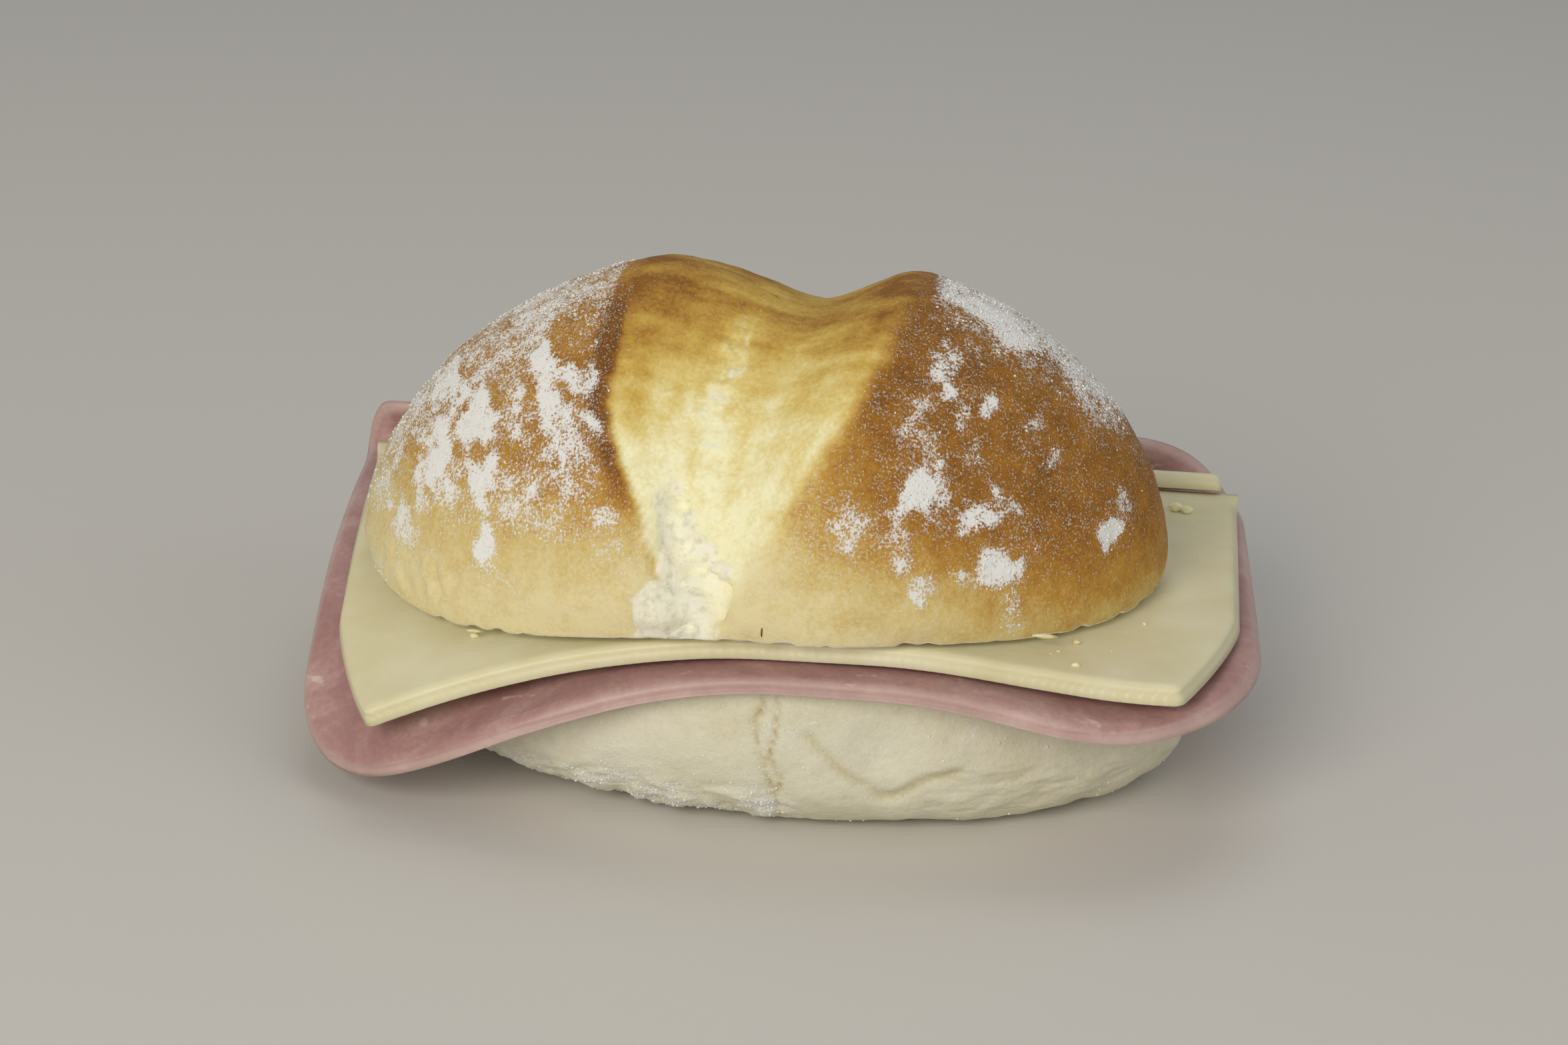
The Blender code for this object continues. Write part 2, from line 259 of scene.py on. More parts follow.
def crustMaterial(name, look):
    # Wheat crust, oven baked and dusted with flour: matt, browned in clouds, white where the flour sits
    made, tree, shader = newMaterial(name, look)
    place = addNode(tree, "ShaderNodeTexCoord").outputs["Object"]
    bakeAndShade, split, crumb, dust, speck = [
        addNode(tree, "ShaderNodeAttribute", {"attribute_name": field}).outputs["Fac"]
        for field in ("bakeAndShade", "split", "crumb", "flour", "speck")]
    cloud, fleck, clump, grain, lone, pores = [
        addNode(tree, "ShaderNodeTexNoise", None, noiseSockets(place, *numbers)) for numbers in look["noise"]]

    # Browning and painted shade, carried in one field: the field moved up and down by the clouds and the pores
    shift, freckled, torn, broken, fine = [   # noise spread this far around 0
        addNode(tree, "ShaderNodeMath", scaled, {0: noise, 1: spread, 2: -spread / 2.0})
        for noise, spread in ((cloud, 0.5), (fleck, 0.4), (fleck, 1.1), (clump, 0.8), (grain, 1.7))]
    moved = addNode(tree, "ShaderNodeMath", added, {0: shift, 1: freckled})
    brownAndShade = addNode(tree, "ShaderNodeMath", dict(added, use_clamp=True), {0: bakeAndShade, 1: moved})
    lobe = addNode(tree, "ShaderNodeValToRGB", None, {0: brownAndShade})
    setStops(lobe.color_ramp, look["baked"])
    seam = addNode(tree, "ShaderNodeValToRGB", None, {0: brownAndShade})
    setStops(seam.color_ramp, look["split"])
    skin = addNode(tree, "ShaderNodeMix", inColour, {0: split, 6: lobe, 7: seam})

    # Where the crust tore, pale crumb shows with a tattered edge
    tattered = addNode(tree, "ShaderNodeMath", added, {0: crumb, 1: torn})
    bareness = addNode(tree, "ShaderNodeMapRange", eased, {
        0: tattered, 1: 0.2, 2: 0.72, 3: 0.0, 4: 0.94})
    inside = addNode(tree, "ShaderNodeValToRGB", None, {0: clump})
    setStops(inside.color_ramp, look["crumb"])
    bared = addNode(tree, "ShaderNodeMix", inColour, {0: bareness, 6: skin.outputs[2], 7: inside})

    # Flour: thick where the field is high, broken up by clumps and grains, with stray specks all over
    ragged = addNode(tree, "ShaderNodeMath", added, {0: broken, 1: fine})
    heaped = addNode(tree, "ShaderNodeMath", added, {0: dust, 1: ragged})
    lying = addNode(tree, "ShaderNodeMapRange", eased, {0: heaped, 1: 0.34, 2: 0.72})
    dense = addNode(tree, "ShaderNodeMapRange", None, {0: dust, 1: 0.1, 2: 0.75, 3: 0.6, 4: 0.97})
    cover = addNode(tree, "ShaderNodeMath", {"operation": "MULTIPLY"}, {0: lying, 1: dense})
    crowded = addNode(tree, "ShaderNodeMath", scaled, {0: broken, 1: 0.45, 2: lone})
    strewn = addNode(tree, "ShaderNodeMath", scaled, {0: speck, 1: 0.2, 2: crowded})
    dots = addNode(tree, "ShaderNodeMapRange", eased, {
        0: strewn, 1: 0.66, 2: 0.86, 3: 0.0, 4: 0.45})
    floured = addNode(tree, "ShaderNodeMath", {"operation": "MAXIMUM"}, {0: cover, 1: dots})
    final = addNode(tree, "ShaderNodeMix", inColour, {
        0: floured, 6: bared.outputs[2], 7: hexColour(look["flour"])})
    tree.links.new(final.outputs[2], shader.inputs["Base Color"])
    rough = addNode(tree, "ShaderNodeMapRange", None, {
        0: floured, 1: 0.0, 2: 1.0, 3: look["roughness"], 4: look["flouredRoughness"]})
    tree.links.new(rough.outputs[0], shader.inputs["Roughness"])

    # Relief: fine pores in the skin and the flour lying on it
    skinBump = addNode(tree, "ShaderNodeBump", None, {
        "Strength": 0.5, "Distance": look["poreDepth"] * mm, "Height": pores})
    dustBump = addNode(tree, "ShaderNodeBump", None, {
        "Strength": 0.5, "Distance": look["dustDepth"] * mm, "Height": floured, "Normal": skinBump})
    tree.links.new(dustBump.outputs[0], shader.inputs["Normal"])
    return made


hamLook = {
    "roughness": 0.42,
    "ior": 1.38,
    "gloss": 0.45,
    "glow": 0.2,
    "glowReach": (1.0, 0.5, 0.4),
    "glowScale": 0.0012,
    "preview": "b99089",
    "lean": [(0.3, "a47b77"), (0.5, "b48c87"), (0.72, "c8a7a0")],
    "fleck": "e0cbbf",
    "cloudSize": 9.0,    # muscle seams pressed together
    "fleckSize": 3.2,
    "grainSize": 0.7,
    "grainDepth": 0.15,
    # a painted highlight along the cut edge
    "rimHighlight": 0.35,
}


def hamMaterial(name, look):
    # Cooked pressed ham, machine sliced: moist, pale pink, with light flecks of fat
    made, tree, shader = newMaterial(name, look)
    place = addNode(tree, "ShaderNodeTexCoord").outputs["Object"]
    rim = addNode(tree, "ShaderNodeAttribute", {"attribute_name": "rim"}).outputs["Fac"]
    cloud = addNode(tree, "ShaderNodeTexNoise", None, dict(
        noiseSockets(place, look["cloudSize"], 5.0, 0.6), Distortion=0.6))
    grain = addNode(tree, "ShaderNodeTexNoise", None, noiseSockets(place, look["grainSize"], 4.0, 0.65))
    blend = addNode(tree, "ShaderNodeMath", scaled, {
        0: grain, 1: 0.35, 2: cloud})
    level = addNode(tree, "ShaderNodeMath", {"operation": "SUBTRACT"}, {0: blend, 1: 0.17})
    meat = addNode(tree, "ShaderNodeValToRGB", None, {0: level})
    setStops(meat.color_ramp, look["lean"])
    stretched = addNode(tree, "ShaderNodeMapping", None, {"Vector": place, "Scale": (0.55, 1.0, 1.3)})
    fat = addNode(tree, "ShaderNodeTexNoise", None, noiseSockets(stretched, look["fleckSize"], 3.0, 0.5))
    flecks = addNode(tree, "ShaderNodeMapRange", eased, {
        0: fat, 1: 0.66, 2: 0.74, 3: 0.0, 4: 0.7})
    # Fat flecks, and a painted highlight along the cut edge in the same pale colour
    pale = addNode(tree, "ShaderNodeMath", dict(scaled, use_clamp=True), {
        0: rim, 1: look["rimHighlight"], 2: flecks})
    final = addNode(tree, "ShaderNodeMix", inColour, {
        0: pale, 6: meat, 7: hexColour(look["fleck"])})
    tree.links.new(final.outputs[2], shader.inputs["Base Color"])
    bump = addNode(tree, "ShaderNodeBump", None, {
        "Strength": 0.35, "Distance": look["grainDepth"] * mm, "Height": grain})
    tree.links.new(bump.outputs[0], shader.inputs["Normal"])
    return made


cheeseLook = {
    "roughness": 0.4,
    "ior": 1.45,
    "gloss": 0.4,
    "glow": 0.35,
    "glowReach": (1.0, 0.85, 0.5),
    "glowScale": 0.002,
    "preview": "dcd8b0",
    "body": [(0.35, "dcd3a8"), (0.5, "e2dab3"), (0.68, "e8e2c0")],
    "cloudSize": 14.0,
    "cutSize": 1.1,      # faint drag marks of the slicer
    "cutDepth": 0.1,
    "speck": "f6f2dc",
    "speckSize": 0.9,
}


def cheeseMaterial(name, look):
    # Mild semi-hard cheese, machine sliced: smooth and waxy, almost even in colour
    made, tree, shader = newMaterial(name, look)
    place = addNode(tree, "ShaderNodeTexCoord").outputs["Object"]
    cloud = addNode(tree, "ShaderNodeTexNoise", None, noiseSockets(place, look["cloudSize"], 4.0, 0.55))
    body = addNode(tree, "ShaderNodeValToRGB", None, {0: cloud})
    setStops(body.color_ramp, look["body"])
    specks = addNode(tree, "ShaderNodeTexNoise", None, noiseSockets(place, look["speckSize"], 2.0, 0.5))
    bright = addNode(tree, "ShaderNodeMapRange", eased, {
        0: specks, 1: 0.74, 2: 0.82, 3: 0.0, 4: 0.6})
    final = addNode(tree, "ShaderNodeMix", inColour, {
        0: bright, 6: body, 7: hexColour(look["speck"])})
    tree.links.new(final.outputs[2], shader.inputs["Base Color"])
    dragged = addNode(tree, "ShaderNodeMapping", None, {"Vector": place, "Scale": (0.06, 1.0, 1.0)})
    marks = addNode(tree, "ShaderNodeTexNoise", None, noiseSockets(dragged, look["cutSize"], 3.0, 0.6))
    bump = addNode(tree, "ShaderNodeBump", None, {
        "Strength": 0.3, "Distance": look["cutDepth"] * mm, "Height": marks})
    tree.links.new(bump.outputs[0], shader.inputs["Normal"])
    return made


dryLook = {
    "roughness": 0.7, "ior": 1.45, "gloss": 0.3, "glow": 0.0, "glowReach": (1.0, 1.0, 1.0), "glowScale": 0.0005,
}
flourLook = dict(
    dryLook, roughness=0.95, ior=1.5, gloss=0.2,
    preview="efeae2", tones=[(0.3, "e4ddd0"), (0.7, "f6f3ee")], toneSize=1.2,
)
crumbLook = dict(
    dryLook, roughness=0.85, glow=0.2, glowReach=(1.0, 0.7, 0.4), glowScale=0.0008,
    preview="e9d9a8", tones=[(0.3, "dcc48c"), (0.6, "f0e6c4")], toneSize=2.0,
)
curdLook = dict(
    dryLook, roughness=0.6, gloss=0.4, glow=0.3, glowReach=(1.0, 0.8, 0.4), glowScale=0.001,
    preview="e8d890", tones=[(0.3, "f2e296"), (0.6, "fdf6cc")], toneSize=1.5,
)
huskLook = dict(dryLook, preview="6a4526", tones=[(0.3, "523419"), (0.7, "80562e")], toneSize=0.8)


def grainMaterial(name, look):
    # Loose dry bits, such as flour, crumb and charred husk: matt, with a slight change of tone
    made, tree, shader = newMaterial(name, look)
    place = addNode(tree, "ShaderNodeTexCoord").outputs["Object"]
    tone = addNode(tree, "ShaderNodeTexNoise", None, noiseSockets(place, look["toneSize"], 2.0, 0.5))
    ramp = addNode(tree, "ShaderNodeValToRGB", None, {0: tone})
    setStops(ramp.color_ramp, look["tones"])
    tree.links.new(ramp.outputs[0], shader.inputs["Base Color"])
    return made


# The bed that the slices and both cut faces follow
bed = {
    "height": 21.0, "front": -38.0,
    "leftStart": 0.3, "leftDroop": 0.01251, "leftPower": 1.897,
    "rightDroop": 4.2, "rightStart": 12.0, "rightEnd": 45.0,
    "fade": 24.0, "fadePower": 1.5,
    "gap": 0.3,
}
slack = {"ham": 1.0, "cheese": 0.66, "crown": 0.5}
thick = {"ham": 2.2, "cheese": 2.3}


def bedHeight(x, y, follow):
    left = bed["leftDroop"] * power(bed["leftStart"] - x, bed["leftPower"])
    right = bed["rightDroop"] * smooth(x, bed["rightStart"], bed["rightEnd"])
    fade = np.exp(-power((y - bed["front"]) / bed["fade"], bed["fadePower"]))
    return bed["height"] - follow * (left + right) * fade


# The outline that crown and heel share
roll = {"length": 100.4, "depth": 66.0, "height": 64.3, "lean": 0.035, "squareness": 1.9, "x": -3.0, "y": -4.0}
crown = {
    "around": 440, "rings": 206, "faceShare": 0.06,
    "leftPower": 1.8, "rightPower": 2.4, "topPower": 2.0, "rimHeight": 26.1,
    "pinch": 0.02, "pinchReach": 0.12,
    "swell": 1.6, "swellX": 12.0, "swellWidth": 14.0,
    "edge": 0.004,       # the skin starts this much past the cut face
    "rise": 0.05,        # and its relief is full this much past it
    "ragged": 0.45,      # how far the cut rim lifts off the cheese
    "waves": [(0.5, 16.0, 1), (0.22, 4.0, 5)],
    "leftTone": 0.66, "rightTone": 0.86, "lowTone": 0.14, "lowToneRise": 0.34,
}
valley = {
    "x": -2.4, "halfWidth": 17.6, "leftBow": 1.5, "leftRun": 7.5, "rightRun": 23.5, "rightPower": 1.9,
    "floorAtTop": 0.62, "floorAtRim": 0.46, "depth": 6.4, "depthAtRim": 2.0,
    "lip": 0.45,         # the left lobe's skin stands a little proud of the fold
    "groove": 0.5,       # and the fold is drawn in under it
}
tear = {
    "x": -9.5, "run": 0.8, "halfWidth": 5.0, "halfRun": 0.14, "height": 0.9,
    # Lines are (millimetres across, run times 55), so that both are millimetres on the crust
    "split": [(-5.7, 10.0), (-7.6, 14.9), (-7.3, 19.2), (-7.8, 21.7), (-9.2, 24.1), (-9.8, 27.9), (-8.7, 32.0)],
    "left": [(-13.6, 32.0), (-14.2, 36.0), (-15.0, 42.0), (-14.2, 48.6), (-15.6, 51.5), (-16.6, 55.0)],
    "right": [(-13.0, 32.0), (-10.8, 38.0), (-8.7, 42.0), (-7.1, 45.0), (-6.3, 48.7), (-6.0, 55.0)],
    "crack": [(-14.6, 45.6), (-14.3, 47.2), (-14.0, 48.8), (-13.2, 49.8)],
    "lump": [(-14.2, 48.6), (-11.8, 49.2), (-9.4, 50.8), (-7.6, 51.6), (-6.4, 53.4)],
    "hollow": [(-12.6, 39.5), (-11.9, 42.0), (-10.8, 45.7), (-8.8, 48.4), (-7.3, 51.1), (-6.9, 54.0)],
    "hollowDepth": 1.7, "hollowWidth": 1.8,
    "ridge": [(-13.4, 36.6), (-13.9, 40.5), (-14.4, 44.2)],
    "lumps": [   # across, along, half width, half length, height
        (-14.2, 52.0, 2.7, 3.6, 0.8), (-10.3, 52.6, 2.1, 2.9, 0.7), (-6.2, 47.3, 1.5, 1.2, 0.6),
    ],
    "shreds": 3.0, "grain": 1.1, "sunk": 0.45, "ridgeHeight": 0.4,
    "start": 34.0,
    "step": 55.0,        # the run from the top to the rim
}
# Flour that fell in patches: x, height, half width, half height, thickness
flourPatches = [
    (-28.9, 52.6, 2.4, 2.2, 1.0), (-23.4, 52.0, 1.9, 2.2, 0.8), (-23.4, 48.7, 1.7, 1.2, 0.75),
    (-28.8, 47.0, 1.5, 2.2, 0.8), (-26.2, 46.5, 1.6, 2.6, 0.85), (-37.0, 44.3, 2.0, 3.2, 0.95),
    (-32.9, 47.6, 1.5, 2.4, 0.75), (-35.2, 40.0, 2.6, 4.0, 1.0), (-35.4, 33.3, 1.5, 2.2, 0.95),
    (-30.0, 40.4, 1.2, 1.3, 0.8), (-42.8, 43.5, 3.4, 6.0, 0.95), (-46.0, 31.0, 1.6, 3.2, 0.8),
    (-23.7, 44.5, 2.0, 2.6, 0.6), (-39.5, 37.5, 2.5, 1.6, 0.6), (-31.0, 36.8, 4.5, 1.2, 0.5),
    (-43.0, 34.5, 2.0, 2.0, 0.6), (-26.5, 42.0, 1.4, 1.2, 0.55), (-33.5, 29.5, 5.0, 1.2, 0.45),
    (15.6, 44.3, 1.9, 2.6, 1.0), (22.8, 41.6, 2.8, 1.7, 1.0), (25.0, 35.6, 2.6, 2.0, 1.0),
    (18.8, 42.2, 1.5, 1.7, 0.8), (14.4, 51.3, 2.2, 2.4, 0.6), (18.6, 53.8, 1.0, 1.0, 0.85),
    (20.3, 51.8, 0.9, 1.2, 0.8), (23.0, 52.2, 0.9, 0.9, 0.85), (7.9, 40.3, 1.6, 4.2, 0.6),
    (13.8, 37.2, 1.2, 1.6, 0.7), (16.7, 33.3, 1.3, 1.2, 0.75), (39.0, 36.4, 1.2, 1.6, 0.85),
    (40.7, 39.2, 1.0, 2.2, 0.6), (18.4, 56.2, 2.4, 1.6, 0.7), (27.5, 31.5, 1.2, 5.5, 0.5),
    (17.0, 47.5, 1.4, 5.0, 0.5), (31.5, 46.0, 0.9, 0.9, 0.6), (29.0, 49.5, 1.0, 0.8, 0.6),
]


def rollOutline(azimuth, scale):
    reach = 2.0 / roll["squareness"]
    across, away = np.cos(azimuth), np.sin(azimuth)
    x = roll["length"] / 2.0 * np.sign(across) * np.abs(across) ** reach
    y = roll["depth"] / 2.0 * np.sign(away) * np.abs(away) ** reach
    return x * scale, y * scale


def crownBed(x, y):
    return bedHeight(x, y, slack["crown"]) + thick["ham"] + thick["cheese"] + 3.0 * bed["gap"]


def crownPoints(azimuth, level):
    rimX, rimY = rollOutline(azimuth, 1.0)
    swell = crown["swell"] * hill(rimX, crown["swellX"], crown["swellWidth"])
    rimY = rimY - np.where(rimY < 0.0, swell * smooth(-rimY, 5.0, 25.0), 0.0)
    rimZ = crownBed(rimX + roll["x"], rimY + roll["y"])
    turn = np.clip((level - crown["faceShare"]) / (1.0 - crown["faceShare"]), 0.0, 1.0) * math.pi / 2.0
    side = crown["leftPower"] + (crown["rightPower"] - crown["leftPower"]) * smooth(rimX, -35.0, 35.0)
    ring = power(np.cos(turn), 2.0 / side)
    lift = power(np.sin(turn), 2.0 / crown["topPower"])
    ring = ring * (1.0 - crown["pinch"] * power(1.0 - lift / crown["pinchReach"], 2.0))
    crust = np.stack([
        rimX * ring + roll["x"],
        rimY * ring + roll["y"],
        rimZ + (roll["height"] - roll["lean"] * rimX * ring - rimZ) * lift,
    ], axis=-1)
    scale = (1.0 - crown["pinch"]) * np.clip(level / crown["faceShare"], 0.0, 1.0)
    faceX = rimX * scale + roll["x"]
    faceY = rimY * scale + roll["y"]
    face = np.stack([faceX, faceY, crownBed(faceX, faceY)], axis=-1)
    return np.where((level > crown["faceShare"])[:, None], crust, face)


def valleyFolds(run):
    ahead = np.abs(run)
    near = valley["halfWidth"] + valley["leftBow"] * np.sin(math.pi * ahead)
    near = near - valley["leftRun"] * smooth(ahead, 0.45, 1.0)
    far = valley["halfWidth"] - valley["rightRun"] * ahead**valley["rightPower"]
    left = np.where(run > 0.0, valley["x"] - near, valley["x"] - far)
    right = np.where(run > 0.0, valley["x"] + far, valley["x"] + near)
    return left, right


def makeCrown(finish):
    data, azimuth, level = sphereMesh("crownCrust", crown["around"], crown["rings"])
    points = crownPoints(azimuth, level)
    forward = (roll["y"] - points[:, 1]) / (roll["depth"] / 2.0)
    upward = (points[:, 2] - crown["rimHeight"]) / (roll["height"] - crown["rimHeight"])
    run = np.clip(np.arctan2(forward, upward) / (math.pi / 2.0), -1.0, 1.0)
    left, right = valleyFolds(run)
    across = np.clip((points[:, 0] - left) / (right - left), 0.0, 1.0)
    floor = valley["floorAtTop"] + (valley["floorAtRim"] - valley["floorAtTop"]) * np.maximum(run, 0.0)
    crisp = 1.0 - (1.0 - np.minimum(across / floor, 1.0)) ** 2.0
    soft = smooth(across / floor, 0.0, 1.0)
    nearSide = soft + (crisp - soft) * smooth(run, 0.0, 0.4)
    farSide = smooth((1.0 - across) / (1.0 - floor), 0.0, 1.0)
    deep = valley["depth"] + (valley["depthAtRim"] - valley["depth"]) * run**2.0
    torn = hill(points[:, 0], tear["x"], tear["halfWidth"]) * hill(run, tear["run"], tear["halfRun"])
    rimLevel = crown["faceShare"]
    onCrust = level > rimLevel + crown["edge"]
    press = deep * np.where(across < floor, nearSide, farSide) - tear["height"] * torn
    points = pushOut(data, points, np.where(onCrust, -press, 0.0))

    # Finer relief, all of it fading out towards the cut rim
    x, y, z = points.T
    along = run * tear["step"]
    rise = smooth(level, rimLevel, rimLevel + crown["rise"])
    wander = roughNoise(points, 2.8, 41)
    tornLeft = lineAt(along, tear["left"]) + 1.6 * wander
    tornRight = lineAt(along, tear["right"]) + 1.4 * roughNoise(points, 2.8, 42)
    openCrumb = smooth(x - tornLeft, -0.6, 1.2) * smooth(tornRight - x, -0.5, 1.4)
    openCrumb = openCrumb * smooth(along + 3.0 * roughNoise(points, 3.0, 43), tear["start"], tear["start"] + 4.5)
    relief = layered(points, crown["waves"])
    facing = smooth(run, 0.02, 0.25)
    relief += valley["lip"] * hill(x, left - 0.9, 1.1) * facing * (1.0 - smooth(run, 0.8, 1.0))
    relief -= valley["groove"] * hill(x, left + 0.5, 0.7) * facing * (1.0 - smooth(run, 0.7, 0.9))
    fine = roughNoise(points, 2.2, 9)
    splitGap = lineDistance(x + 2.2 * roughNoise(points, 2.4, 21), along, tear["split"])
    flaky = smooth(gridNoise(points, 1.7, 22), 0.42, 0.62)
    relief += (0.32 * hill(splitGap, 0.7, 0.8) - 0.22 * hill(splitGap, 0.0, 0.4)) * flaky
    crackGap = lineDistance(x + 0.8 * wander, along, tear["crack"])
    lumpGap = lineDistance(x, along + 1.2 * wander, tear["lump"])
    relief -= 1.1 * hill(crackGap, 0.0, 0.5) * (along > 40.0) + 0.5 * hill(lumpGap, 0.0, 0.5) * openCrumb
    relief -= 0.55 * hill(x, tornRight, 0.6) * smooth(along, 43.0, 47.0)
    shreds = np.abs(roughNoise(points * (1.0, 1.0, 0.55), 3.4, 25)) - 0.12
    onLump = smooth(along - lineAt(x, tear["lump"], True), 0.0, 0.8)
    domed = np.zeros(len(x))
    for lumpX, lumpRun, halfWide, halfLong, height in tear["lumps"]:
        gap = np.hypot((x - lumpX + 0.8 * wander) / halfWide, (along - lumpRun + 0.8 * fine) / halfLong)
        domed = np.maximum(domed, height * np.sqrt(power(1.0 - gap**2.0, 1.0)))
    hollow = hill(lineDistance(x + 1.2 * wander, along, tear["hollow"]), 0.0, tear["hollowWidth"]) * (domed < 0.05)
    ridge = hill(lineDistance(x + 0.8 * wander, along, tear["ridge"]), 0.0, 0.7)
    ripped = tear["shreds"] * shreds + tear["grain"] * fine - tear["sunk"]
    relief += openCrumb * ripped * (1.0 - 0.75 * onLump) * (domed < 0.05)
    relief += domed + tear["ridgeHeight"] * ridge - tear["hollowDepth"] * hollow
    folds = np.sin((azimuth + 0.3 * roughNoise(points, 8.0, 31)) * 46.0)
    corner = hill(x, -42.5, 4.5) * (1.0 - smooth(z, 26.5, 31.0)) * (y < 0)
    relief += 0.4 * folds * corner
    crease = smooth(-x, 30.0, 22.0) * smooth(-x, 12.0, 18.0) * (1.0 - smooth(z, 27.0, 32.0)) * (y < 0)
    relief += 0.3 * crease * roughNoise(points * (0.5, 0.5, 1.6), 3.0, 33)
    relief += 0.10 * fine
    points = pushOut(data, points, np.where(onCrust, relief * rise, 0.0))
    # The knife left a slightly ragged rim, lifted off the cheese here and there
    rim = smooth(level, rimLevel * 0.9, rimLevel) * (1.0 - rise)
    notches = smooth(gridNoise(points * (1.0, 1.0, 0.0), 1.5, 35), 0.4, 0.9)
    points[:, 2] += crown["ragged"] * rim * notches
    writePoints(data, points)

    # Fields for the material
    inValley = smooth(x + 0.8 * roughNoise(points, 2.5, 51), left - 0.5, left + 0.9)
    inValley = inValley * smooth(-x + 1.5 * roughNoise(points, 4.0, 52), -right - 0.5, -right + 3.0)
    height = (z - crown["rimHeight"]) / (roll["height"] - crown["rimHeight"])
    onLeft = x < (left + right) / 2.0
    lobeTone = np.where(onLeft, crown["leftTone"], crown["rightTone"])
    rightness = smooth(x, 8.0, 38.0)
    lowTone = crown["lowTone"] + crown["lowToneRise"] * rightness
    lobe = lowTone + (lobeTone - lowTone) * smooth(height, 0.1 - 0.1 * rightness, 0.52 - 0.12 * rightness)
    lobe -= 0.34 * np.exp(-power(x - right, 1.0) / 6.0) * ~onLeft * (1.0 - smooth(height, 0.5, 0.75))
    # Browner crust along the left fold, darkened further by painted shade on the fold wall turned from the light
    lobe += 0.42 * hill(x, left - 0.6, 1.9) * smooth(height, 0.32, 0.5) * facing
    lobe -= 0.12 * smooth(z, 30.5, 26.5)
    across = (x - left) / (right - left)
    streak = roughNoise(np.stack([across * 26.0, along * 0.14, y * 0.0], axis=-1), 2.2, 53)
    band = roughNoise(np.stack([x * 0.4, along, y * 0.0], axis=-1), 3.6, 58)
    ahead = np.abs(run)
    lowered = smooth(ahead, 0.12, 0.62)
    seam = 0.74 - 0.58 * lowered + 0.32 * np.exp(-(x - left) / 5.5) * smooth(0.66 - run, 0.0, 0.35)
    seam += 0.16 * hill(x, right - 3.0, 4.0) * (1.0 - smooth(ahead, 0.3, 0.6))
    seam += 0.30 * streak * (0.4 + 0.6 * smooth(ahead, 0.2, 0.5)) + 0.45 * band * (1.0 - smooth(ahead, 0.35, 0.65))
    aroundTear = hill(x, (tornLeft + tornRight) / 2.0, 7.0)
    seam -= 0.25 * hill(splitGap, 0.5, 1.2) + 0.16 * aroundTear * smooth(run, 0.5, 0.75)
    bakeAndShade = lobe + (seam - lobe) * inValley + 0.10 * roughNoise(points, 9.0, 54)
    # Painted shade down the crack at the tear's left edge
    bakeAndShade += 0.35 * hill(crackGap, 0.0, 0.3) * (along > 40.0)
    bakeAndShade -= 0.16 * hill(x, -12.0, 7.0) * smooth(along, 38.0, 46.0) + 0.1 * smooth(domed, 0.0, 0.4)
    flakes = 0.5 * hill(splitGap, 0.5, 0.7) * smooth(gridNoise(points, 1.5, 56), 0.4, 0.7)
    bareness = 0.58 + 0.3 * gridNoise(points, 2.5, 55) - 0.26 * hollow
    onRidge = 0.8 * smooth(ridge, 0.3, 0.8) * gridNoise(points, 1.6, 57)
    onLumps = 0.62 * smooth(domed, 0.0, 0.5)
    crumb = np.maximum.reduce([openCrumb * bareness, flakes, onLumps, onRidge, ~onCrust * 1.0])
    flour, speck = crownFlour(points, run, left, right, inValley)
    addFields(data, {
        "bakeAndShade": bakeAndShade, "split": inValley, "crumb": crumb,
        "flour": np.where(onCrust, flour * (1.0 - openCrumb), 0.0), "speck": np.where(onCrust, speck, 0.0),
    })
    return addPiece("crownCrust", data, finish, ["roll_top"])


